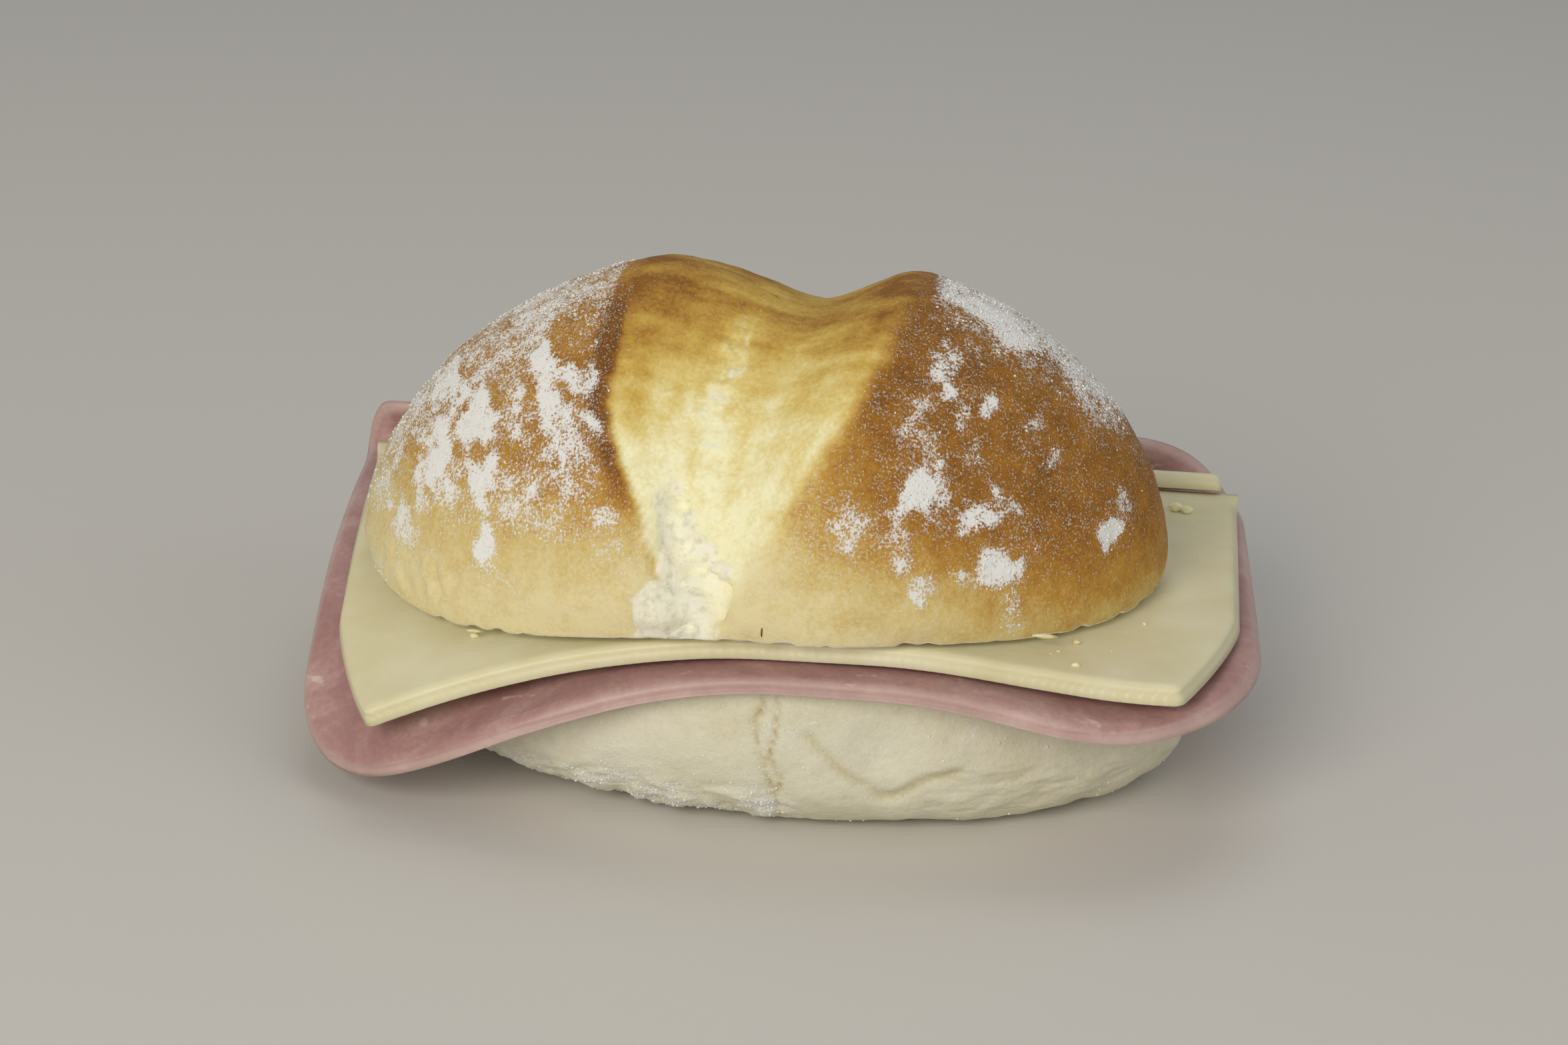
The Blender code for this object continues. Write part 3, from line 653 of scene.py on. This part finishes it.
def crownFlour(points, run, left, right, inValley):
    x, y, z = points.T
    hidden = y > roll["y"]
    # The far side carries the same patches turned half round
    mirrored = np.where(hidden, 2.0 * roll["x"] - x, x)
    nearness = np.where(hidden, 2.0 * roll["y"] - y, y)
    brushed = roughNoise(np.stack([x + 0.5 * z, y * 0.6, 0.4 * z - 0.2 * x], axis=-1), 1.6, 62)
    warp = 1.3 * roughNoise(points, 2.4, 61) + 1.4 * brushed
    cover = np.zeros(len(x))
    for patchX, patchZ, halfWide, halfTall, thickness in flourPatches:
        gap = np.hypot((mirrored - patchX) / halfWide, (z - patchZ) / halfTall) + warp
        cover = np.maximum(cover, 0.98 * thickness * (1.0 - smooth(gap, 0.0, 2.05)))
    cover *= 0.74 + 0.45 * gridNoise(points, 1.3, 70)
    drift = gridNoise(points, 5.0, 63)
    mottle = gridNoise(points, 1.9, 67)
    topLeft = smooth(nearness + 4.0 * roughNoise(points, 6.0, 64), -19.0, -11.0) * smooth(left - x, 0.0, 2.5)
    topLeft *= smooth(z, 27.0, 33.0) * (0.24 + 0.28 * drift + 0.34 * mottle)
    topRight = smooth(nearness + 5.0 * roughNoise(points, 5.0, 65), -17.0, -8.0) * smooth(x - right, -1.0, 3.0)
    topRight *= smooth(z, 40.0, 52.0) * (0.44 + 0.3 * drift + 0.3 * mottle)
    underTop = smooth(nearness, -22.0, -12.0) * smooth(x - right, 0.0, 4.0)
    underTop *= smooth(z, 38.0, 52.0) * 0.4 * (0.4 + drift)
    leftField = smooth(left - x, 0.5, 3.5) * smooth(z, 29.0, 37.0) * (0.14 + 0.42 * gridNoise(points, 3.2, 66))
    endRim = hill(x, -50.0, 5.0) * 0.55 * drift
    islands = 0.66 * smooth(gridNoise(points + 0.8 * warp[:, None], 2.1, 68), 0.5, 0.85)
    onLeft = smooth(left - x, 1.0, 3.5) * smooth(z, 31.0, 38.0)
    onRight = 0.8 * smooth(x - right, 6.0, 10.0) * smooth(z, 33.0, 40.0) * smooth(30.0 - x, 0.0, 12.0)
    islands *= np.maximum(onLeft, onRight)
    cover = np.maximum.reduce([cover, topLeft, topRight, underTop, leftField, endRim, islands])
    nearFold = np.where(x < left, smooth(left - x + roughNoise(points, 2.0, 69), 0.3, 2.2), 1.0)
    cover = cover * (1.0 - 0.95 * inValley) * np.where(hidden, 1.0, nearFold)
    speck = (0.35 + 0.5 * drift) * (1.0 - 0.8 * inValley) * (0.45 + 0.55 * smooth(z, 30.0, 38.0))
    return np.clip(cover, 0.0, 1.0), np.clip(speck, 0.0, 1.0)


heel = {
    "around": 460, "rings": 200, "faceShare": 0.06, "x": -0.2, "rimScale": 0.995,
    "leftPower": 5.9, "rightPower": 7.2, "sidePower": 5.3, "basePower": 2.6, "shift": 5.5, "sink": 1.04,
    "edge": 0.004, "rise": 0.05, "waves": [(0.6, 15.0, 71), (0.3, 5.0, 75), (0.12, 1.8, 77)],
    "dimple": (13.6, 12.0, 5.0, 1.6),   # x, height, radius, depth
    # Lines are (across, height)
    "cracks": [
        [(-1.3, 20.0), (-1.5, 18.3), (-1.9, 16.4), (-1.5, 13.2), (-0.2, 9.4), (0.4, 7.0)],
        [(0.6, 20.0), (0.7, 18.2), (0.8, 15.0), (0.2, 11.6), (1.0, 9.5), (1.4, 4.7), (1.2, 1.5)],
    ],
    "fold": [
        (4.6, 14.6), (5.6, 13.2), (7.9, 10.6), (11.9, 7.4), (13.5, 6.0), (15.3, 6.3), (18.1, 8.4), (22.5, 9.6),
    ],
}


def heelFace(x, y):
    return bedHeight(x, y, slack["ham"]) - bed["gap"]


def heelPoints(azimuth, level):
    rimX, rimY = rollOutline(azimuth, heel["rimScale"])
    rimZ = heelFace(rimX + heel["x"], rimY + roll["y"])
    top = 1.0 - heel["faceShare"]
    turn = np.clip((top - level) / top, 0.0, 1.0) * math.pi / 2.0
    ends = heel["leftPower"] + (heel["rightPower"] - heel["leftPower"]) * smooth(rimX, -20.0, 35.0)
    ringX = power(np.cos(turn), 2.0 / ends)
    ringY = power(np.cos(turn), 2.0 / heel["sidePower"])
    drop = power(np.sin(turn), 2.0 / heel["basePower"])
    crust = np.stack([
        rimX * ringX + heel["shift"] * drop + heel["x"],
        rimY * ringY + roll["y"],
        np.maximum(rimZ * (1.0 - heel["sink"] * drop), 0.0),
    ], axis=-1)
    scale = np.clip((1.0 - level) / heel["faceShare"], 0.0, 1.0)
    faceX = rimX * scale + heel["x"]
    faceY = rimY * scale + roll["y"]
    face = np.stack([faceX, faceY, heelFace(faceX, faceY)], axis=-1)
    return np.where((level < top)[:, None], crust, face)


def makeHeel(finish):
    data, azimuth, level = sphereMesh("heelCrust", heel["around"], heel["rings"])
    points = heelPoints(azimuth, level)
    x, y, z = points.T
    front = y < roll["y"]
    top = 1.0 - heel["faceShare"]
    onCrust = level < top - heel["edge"]
    dimpleX, dimpleZ, dimpleWide, dimpleDeep = heel["dimple"]
    press = dimpleDeep * np.exp(-(np.hypot(x - dimpleX, z - dimpleZ) / dimpleWide) ** 2.0) * front
    grounded = smooth(z, 0.0, 1.6)  # the base stays flat
    below = smooth(top - level, 0.0, heel["rise"])
    relief = layered(points, heel["waves"])
    bent = x + 1.1 * roughNoise(points, 2.2, 79)
    crackGap = np.minimum(lineDistance(bent, z, heel["cracks"][0]), lineDistance(bent, z, heel["cracks"][1]))
    relief -= front * 0.3 * hill(crackGap, 0.0, 0.45) * (0.4 + gridNoise(points, 2.5, 81))
    relief += front * 0.3 * hill(x, -0.4, 1.0) * smooth(z, 6.0, 9.0) * roughNoise(points, 1.8, 82)
    foldGap = lineDistance(x, z + 0.8 * roughNoise(points, 5.0, 80), heel["fold"])
    relief -= front * 0.5 * hill(foldGap, 0.0, 0.75)
    relief += front * 0.4 * hill(x, 15.6, 3.5) * hill(z, 9.0, 1.8)
    wrinkled = smooth(x, 14.0, 24.0) * (1.0 - smooth(z, 9.0, 12.0))
    relief += 0.8 * wrinkled * roughNoise(points * (0.45, 0.45, 1.3), 3.0, 83)
    crumbly = (1.0 - smooth(x, 0.0, 8.0)) * (1.0 - smooth(z, 5.0, 9.0))
    relief += 0.9 * crumbly * roughNoise(points, 2.2, 87)
    amount = np.where(onCrust, (relief - press) * grounded * below, 0.0)
    points = pushOut(data, points, amount)
    points[:, 2] = np.maximum(points[:, 2], 0.0)
    writePoints(data, points)
    x, y, z = points.T
    # Browner towards the right, with painted shade towards the top, where the ham overhangs the heel
    bakeAndShade = 0.16 + 0.22 * roughNoise(points, 10.0, 91) + 0.12 * smooth(x, 5.0, 40.0) + 0.10 * smooth(z, 12.0, 20.0)
    # Painted shade in the fold under the dimple and down the cracks
    crackShade = 0.40 * hill(crackGap, 0.0, 0.35) * (0.4 + gridNoise(points, 2.5, 81))
    bakeAndShade += front * (0.30 * hill(foldGap, 0.0, 0.6) + crackShade)
    flour = 0.22 + 0.55 * crumbly * gridNoise(points, 2.2, 92) + 0.26 * roughNoise(points, 6.0, 93)
    flour += 0.30 * hill(x, -0.4, 1.6) * front * gridNoise(points, 1.8, 95)
    lying = onCrust & (z > 0.7)  # no flour under the base
    addFields(data, {
        "bakeAndShade": bakeAndShade, "split": np.full(len(x), 0.5),
        "crumb": np.where(onCrust, 0.25 * crumbly * gridNoise(points, 2.5, 94), 1.0),
        "flour": np.where(lying, flour, 0.0), "speck": np.where(lying, 0.45, 0.0),
    })
    return addPiece("heelCrust", data, finish, ["roll_bottom"])


ham = {
    "columns": 270, "rows": 170,
    "width": 118.0, "spread": 1.8, "x": 0.1, "front": -39.4,
    "leftCorner": (38.0, 24.0), "rightCorner": (26.0, 26.0), "backLeft": (6.5, 10.0), "backRight": (20.0, 16.0),
    "curlStart": 34.5, "curlArc": 13.2, "curlRadius": 4.9, "curlWidening": 0.55,
    "ripple": 0.14,
    "rounding": 2.6, "rimShare": 0.3, "rimLift": 0.35,   # the cut edge has slumped round
}
cheese = {
    "columns": 420, "rows": 100, "crowding": 1.35,
    "length": 111.6, "spread": 3.8, "x": 0.7, "front": -34.9, "depth": 65.0,
    "leftCorner": (5.6, 19.0), "rightCorner": (6.9, 22.0), "cornerBow": 1.4,
    "toothPitch": 1.3, "tooth": 0.045,   # the slicer's blade left a finely notched edge
    "corner": (1.1, 1.1), "ripple": 0.1,
    "rounding": 1.8, "rimShare": 0.4, "rimLift": 0.2,
}
strip = {
    "columns": 200, "rows": 16,
    "left": -30.0, "right": 56.6, "slant": 4.2, "front": 29.2, "depth": 6.0, "slope": 20.0,
    "frontCorner": (1.2, 1.2), "backCorner": (3.0, 3.6),
    "ripple": 0.1, "rounding": 1.1, "rimShare": 0.45,
}


def roundCorner(distance, size):
    short = np.clip(1.0 - distance / size[1], 0.0, 1.0)
    return size[0] * (1.0 - np.sqrt(1.0 - short**2.0))


def cutCorner(distance, size):
    return size[0] * power(1.0 - distance / size[1], cheese["cornerBow"])


def rimFullness(x, y, u, v, reach):  # 0 at the slice's edge, rising like a quarter circle to 1 this far in
    sides = [
        (v < -0.9999, u), (u > 0.9999, v), (v > 0.9999, -u), (u < -0.9999, -v),
    ]
    border = []
    for onSide, order in sides:
        chosen = np.where(onSide)[0]
        chosen = chosen[np.argsort(order[chosen])]
        border += list(zip(x[chosen].tolist(), y[chosen].tolist()))
    border = [border[0]] + [after for before, after in zip(border[:-1], border[1:]) if after != before]
    gap = np.full(len(x), 10.0 * reach)
    near = (np.abs(u) > 0.8) | (np.abs(v) > 0.8)
    gap[near] = lineDistance(x[near], y[near], border)
    return np.sqrt(1.0 - (1.0 - np.clip(gap / reach, 0.0, 1.0)) ** 2.0)


def addThickness(piece, thickness, fullness, rimShare):
    group = piece.vertex_groups.new(name="Fullness")
    for index, share in enumerate((rimShare + (1.0 - rimShare) * fullness).tolist()):
        group.add([index], share, "REPLACE")
    wall = piece.modifiers.new("Thickness", "SOLIDIFY")
    wall.thickness = thickness * mm
    wall.offset = 1.0
    wall.vertex_group = "Fullness"


def makeHam(finish):
    data, u, v = gridMesh("hamSlice", ham["columns"], ham["rows"])
    depth = ham["curlStart"] + ham["curlArc"] - ham["front"]
    fromFront = depth / 2.0 * (1.0 + np.sin(v * math.pi / 2.0))
    fromBack = depth - fromFront
    half = ham["width"] / 2.0 + ham["spread"] * (fromFront / depth - 0.5)
    left = -half + roundCorner(fromFront, ham["leftCorner"]) + roundCorner(fromBack, ham["backLeft"])
    right = half - roundCorner(fromFront, ham["rightCorner"]) - roundCorner(fromBack, ham["backRight"])
    x = left + (right - left) * (u + 1.0) / 2.0 + ham["x"]
    along = ham["front"] + fromFront
    radius = ham["curlRadius"] + ham["curlWidening"] * x / half
    turn = np.maximum(along - ham["curlStart"], 0.0) / radius
    flatY = np.minimum(along, ham["curlStart"])
    y = flatY + radius * np.sin(turn)
    z = bedHeight(x, flatY, slack["ham"]) + radius * (1.0 - np.cos(turn))
    points = np.stack([x, y, z], axis=-1)
    rimGap = np.minimum(np.minimum(fromFront, fromBack), np.minimum(x - left, right - x))
    overhang = 1.0 - smooth(rimGap, 0.0, 8.0)
    z = z - ham["ripple"] * (1.0 + roughNoise(points, 9.0, 101)) * overhang
    fullness = rimFullness(x, along, u, v, ham["rounding"])
    z = z + ham["rimLift"] * (1.0 - fullness)
    writePoints(data, np.stack([x, y, z], axis=-1))
    # The rim field marks the cut edge, where the material paints a highlight
    addFields(data, {"rim": 1.0 - smooth(rimGap, 0.2, 1.6)})
    piece = addPiece("hamSlice", data, finish, ["ham_slice"])
    addThickness(piece, thick["ham"], fullness, ham["rimShare"])


def makeCheese(finish):
    data, u, v = gridMesh("cheeseSlice", cheese["columns"], cheese["rows"])
    fromFront = cheese["depth"] * power((1.0 + v) / 2.0, cheese["crowding"])
    half = cheese["length"] / 2.0 + cheese["spread"] * (fromFront / cheese["depth"] - 0.5)
    soft = roundCorner(fromFront, cheese["corner"])
    left = -half + cutCorner(fromFront, cheese["leftCorner"]) + soft
    right = half - cutCorner(fromFront, cheese["rightCorner"]) - soft
    x = left + (right - left) * (u + 1.0) / 2.0 + cheese["x"]
    wandering = x + 0.5 * np.sin(x * 0.37)
    tooth = cheese["tooth"] * np.abs(np.sin(math.pi * wandering / cheese["toothPitch"]))
    y = cheese["front"] + fromFront + tooth * (1.0 - smooth(fromFront, 0.0, 1.2))
    z = bedHeight(x, y, slack["cheese"]) + thick["ham"] + bed["gap"]
    points = np.stack([x, y, z], axis=-1)
    fullness = rimFullness(x, y, u, v, cheese["rounding"])
    # The back edge stays square
    fullness = np.maximum(fullness, smooth(fromFront, cheese["depth"] - 4.0, cheese["depth"] - 2.0))
    z = z + cheese["ripple"] * (0.5 + roughNoise(points, 12.0, 111))
    z = z + cheese["rimLift"] * (1.0 - fullness)
    writePoints(data, np.stack([x, y, z], axis=-1))
    piece = addPiece("cheeseSlice", data, finish, ["cheese_slice"])
    addThickness(piece, thick["cheese"], fullness, cheese["rimShare"])


def makeStrip(finish):
    data, u, v = gridMesh("cheeseStrip", strip["columns"], strip["rows"])
    share = (v + 1.0) / 2.0
    fromFront = strip["depth"] * share
    right = strip["right"] - strip["slant"] * share
    right = right - roundCorner(fromFront, strip["frontCorner"])
    right = right - roundCorner(strip["depth"] - fromFront, strip["backCorner"])
    x = strip["left"] + (right - strip["left"]) * (u + 1.0) / 2.0
    y = strip["front"] + fromFront
    sliceBack = cheese["front"] + cheese["depth"]
    sliceTop = bed["height"] + thick["ham"] + thick["cheese"] + 2.0 * bed["gap"]
    z = sliceTop + (sliceBack - y) * math.tan(math.radians(strip["slope"]))
    points = np.stack([x, y, z], axis=-1)
    fullness = rimFullness(x, y, u, v, strip["rounding"])
    y = y + strip["ripple"] * roughNoise(points, 5.0, 121)
    writePoints(data, np.stack([x, y, z], axis=-1))
    piece = addPiece("cheeseStrip", data, finish, ["cheese_strip"])
    addThickness(piece, thick["cheese"], fullness, strip["rimShare"])


# Grains to the square millimetre at full cover, and their radii, coarser than real flour
grains = {"density": 4.5, "small": 0.07, "large": 0.2, "seed": 7}


def scatterTree(name):  # strews small lumps over a surface where a field is high
    tree = bpy.data.node_groups.new(name, "GeometryNodeTree")
    sockets = {}
    for label, kind, way in [
        ("Surface", "NodeSocketGeometry", "INPUT"), ("Density", "NodeSocketFloat", "INPUT"),
        ("Small", "NodeSocketFloat", "INPUT"), ("Large", "NodeSocketFloat", "INPUT"),
        ("Seed", "NodeSocketInt", "INPUT"), ("Finish", "NodeSocketMaterial", "INPUT"),
        ("Lumps", "NodeSocketGeometry", "OUTPUT"),
    ]:
        sockets[label] = tree.interface.new_socket(name=label, in_out=way, socket_type=kind).identifier
    given = addNode(tree, "NodeGroupInput")
    field = addNode(tree, "GeometryNodeInputNamedAttribute", {"data_type": "FLOAT"}, {"Name": "flour"})
    heavy = addNode(tree, "ShaderNodeMath", {"operation": "POWER"}, {0: field, 1: 3.0})
    often = addNode(tree, "ShaderNodeMath", {"operation": "MULTIPLY"}, {
        0: heavy, 1: given.outputs["Density"]})
    strewn = addNode(tree, "GeometryNodeDistributePointsOnFaces", {"distribute_method": "RANDOM"}, {
        "Mesh": given.outputs["Surface"], "Density": often, "Seed": given.outputs["Seed"]})
    lump = addNode(tree, "GeometryNodeMeshIcoSphere", None, {"Radius": 1.0, "Subdivisions": 1})
    size = addNode(tree, "FunctionNodeRandomValue", {"data_type": "FLOAT"}, {
        2: given.outputs["Small"], 3: given.outputs["Large"], "Seed": given.outputs["Seed"]})
    turned = addNode(tree, "FunctionNodeRandomValue", {"data_type": "FLOAT_VECTOR"}, {
        0: (0.0, 0.0, 0.0), 1: (6.28, 6.28, 6.28), "Seed": given.outputs["Seed"]})
    placed = addNode(tree, "GeometryNodeInstanceOnPoints", None, {
        "Points": strewn.outputs["Points"], "Instance": lump.outputs["Mesh"],
        "Rotation": turned, "Scale": size.outputs[1]})
    real = addNode(tree, "GeometryNodeRealizeInstances", None, {"Geometry": placed})
    painted = addNode(tree, "GeometryNodeSetMaterial", None, {
        "Geometry": real, "Material": given.outputs["Finish"]})
    out = addNode(tree, "NodeGroupOutput")
    tree.links.new(painted.outputs[0], out.inputs[0])
    return tree, sockets


def strewOver(host, name, finish, seed):
    tree, sockets = scatterTree(name + "Tree")
    modifier = host.modifiers.new("Strew", "NODES")
    modifier.node_group = tree
    modifier[sockets["Density"]] = grains["density"] / mm**2
    modifier[sockets["Small"]] = grains["small"] * mm
    modifier[sockets["Large"]] = grains["large"] * mm
    modifier[sockets["Seed"]] = seed
    modifier[sockets["Finish"]] = finish
    graph = bpy.context.evaluated_depsgraph_get()
    data = bpy.data.meshes.new_from_object(host.evaluated_get(graph))
    host.modifiers.remove(modifier)
    data.name = name
    return addPiece(name, data, None)


bits = {
    "seed": 3,
    "crumbCount": 40, "crumbSmall": 0.14, "crumbLarge": 0.45,
    # x, y, height over the cheese, radius; the first two make one curl of cheese
    "curds": [
        (49.7, 21.8, 0.6, 0.78), (51.1, 21.2, 0.55, 0.7), (-36.2, -25.9, 0.25, 0.5), (35.3, -31.3, 0.15, 0.45),
    ],
    "flakes": [(31.6, -28.6, 2.05, 0.9), (-36.1, -27.6, 1.9, 0.6)],   # they stick to the crown's cut rim
    "husk": (-1.5, -37.72, 28.5, 0.75),     # x, y, z, radius of a charred sliver on the crust
    "curdShape": (1.1, 0.8, 0.8), "flakeShape": (1.5, 0.6, 0.35), "huskShape": (0.14, 0.14, 1.1),
}


def addLump(mesh, centre, radii, seed, detail=2):  # a small uneven lump, radii in millimetres
    made = bmesh.ops.create_icosphere(mesh, subdivisions=detail, radius=1.0)
    points = np.array([v.co[:] for v in made["verts"]])
    points = points * (1.0 + 0.7 * roughNoise(points + seed, 0.9, 131))[:, None]
    for vert, point in zip(made["verts"], points * np.array(radii) + np.array(centre)):
        vert.co = point * mm


def onCheese(x, y, lift):  # height of a bit that lies on the cheese slice
    below = float(bedHeight(np.array([x]), np.array([y]), slack["cheese"])[0])
    return below + thick["ham"] + thick["cheese"] + bed["gap"] + lift


def makeCrumbs(finish):
    # Bread crumbs that fell on the cheese along the crown's cut rim
    chance = np.random.default_rng(bits["seed"])
    mesh = bmesh.new()
    for index in range(bits["crumbCount"]):
        azimuth = chance.uniform(-math.pi, math.pi)
        rimX, rimY = rollOutline(np.array([azimuth]), 1.0 + abs(chance.normal(0.0, 0.035)) + 0.012)
        x, y = float(rimX[0]) + roll["x"], float(rimY[0]) + roll["y"]
        size = bits["crumbSmall"] + (bits["crumbLarge"] - bits["crumbSmall"]) * chance.random() ** 3
        if y > cheese["front"] + 1.0 and abs(x) < 47.0 and y < 28.5:
            addLump(mesh, (x, y, onCheese(x, y, 0.65 * size)), (size * 1.2, size, size * 0.7), index)
    addPiece("breadCrumbs", keepMesh(mesh, "breadCrumbs"), finish)


def makeBit(name, spots, shape, finish, seed):
    mesh = bmesh.new()
    for x, y, z, radius in spots:
        addLump(mesh, (x, y, z), tuple(radius * part for part in shape), seed, 3)
    addPiece(name, keepMesh(mesh, name), finish)


cheeseFinish = cheeseMaterial("mildSlicedCheese", cheeseLook)
crownPiece = makeCrown(crustMaterial("flouredWheatCrust", crustLook))
print("crown made")
heelPiece = makeHeel(crustMaterial("paleHeelCrust", heelLook))
print("heel made")
makeHam(hamMaterial("cookedHam", hamLook))
makeCheese(cheeseFinish)
makeStrip(cheeseFinish)
print("slices made")
flourFinish = grainMaterial("wheatFlour", flourLook)
strewOver(crownPiece, "crownFlour", flourFinish, grains["seed"])
strewOver(heelPiece, "heelFlour", flourFinish, grains["seed"] + 1)
crumbFinish = grainMaterial("breadCrumb", crumbLook)
makeCrumbs(crumbFinish)
curds, flakes = [
    [(x, y, onCheese(x, y, lift), radius) for x, y, lift, radius in bits[key]] for key in ("curds", "flakes")]
makeBit("cheeseCrumb", curds, bits["curdShape"], grainMaterial("driedCurd", curdLook), 5)
makeBit("crustFlake", flakes, bits["flakeShape"], crumbFinish, 9)
huskFinish = grainMaterial("charredHusk", huskLook)
makeBit("charredHusk", [bits["husk"]], bits["huskShape"], huskFinish, 12)
print("flour and crumbs made")


studio = {
    "floor": "d8d4cc", "floorRoughness": 0.8, "floorHalf": 3.0, "floorGap": 0.0001,   # metres
    "world": "eef0f2", "worldStrength": 0.32,
    "lights": [   # name, place in metres, width, watts, colour
        ("keyLight", (-0.32, -0.85, 0.46), 0.5, 5.4, "fffaf2"),
        ("fillLight", (0.75, -0.45, 0.45), 0.7, 1.2, "f4f6fb"),
        ("topLight", (0.05, 0.35, 0.85), 0.6, 1.0, "ffffff"),
    ],
    "aim": (0.0, -0.004, 0.028),
}
view = {
    "lens": 80.36, "sensor": 36.0, "nearest": 0.01,
    "elevation": 19.5, "azimuth": 2.0, "roll": 3.0, "distance": 0.435, "target": (-0.00075, -0.0045, 0.030),
}


def makeStudio():
    mesh = bmesh.new()
    bmesh.ops.create_grid(mesh, x_segments=8, y_segments=8, size=studio["floorHalf"])
    floor = bpy.data.objects.new("studioFloor", keepMesh(mesh, "studioFloor"))
    floor.location = (0.0, 0.0, -studio["floorGap"])
    finish = bpy.data.materials.new("matPaper")
    finish.use_nodes = True
    shader = finish.node_tree.nodes["Principled BSDF"]
    shader.inputs["Base Color"].default_value = hexColour(studio["floor"])
    shader.inputs["Roughness"].default_value = studio["floorRoughness"]
    floor.data.materials.append(finish)
    scene.collection.objects.link(floor)
    world = bpy.data.worlds.new("studioAir")
    world.use_nodes = True
    air = world.node_tree.nodes["Background"]
    air.inputs[0].default_value = hexColour(studio["world"])
    air.inputs[1].default_value = studio["worldStrength"]
    scene.world = world
    for name, place, size, strength, tint in studio["lights"]:
        lamp = bpy.data.lights.new(name, "AREA")
        lamp.shape = "DISK"
        lamp.size = size
        lamp.energy = strength
        lamp.color = hexColour(tint)[:3]
        made = bpy.data.objects.new(name, lamp)
        toward = Vector(studio["aim"]) - Vector(place)
        made.matrix_world = Matrix.Translation(place) @ toward.to_track_quat("-Z", "Y").to_matrix().to_4x4()
        scene.collection.objects.link(made)


def makeCamera():
    lens = bpy.data.cameras.new("mainCamera")
    lens.lens = view["lens"]
    lens.sensor_width = view["sensor"]
    lens.clip_start = view["nearest"]
    camera = bpy.data.objects.new("mainCamera", lens)
    up = math.radians(view["elevation"])
    swing = Matrix.Rotation(math.radians(view["azimuth"]), 3, "Z")
    away = swing @ Vector((0.0, -math.cos(up), math.sin(up)))
    facing = away.to_track_quat("Z", "Y").to_matrix()
    tilted = facing @ Matrix.Rotation(math.radians(view["roll"]), 3, "Z")
    place = Vector(view["target"]) + away * view["distance"]
    camera.matrix_world = Matrix.Translation(place) @ tilted.to_4x4()
    scene.collection.objects.link(camera)
    scene.camera = camera


makeStudio()
makeCamera()
scene.view_settings.view_transform = "Standard"
print("studio ready")
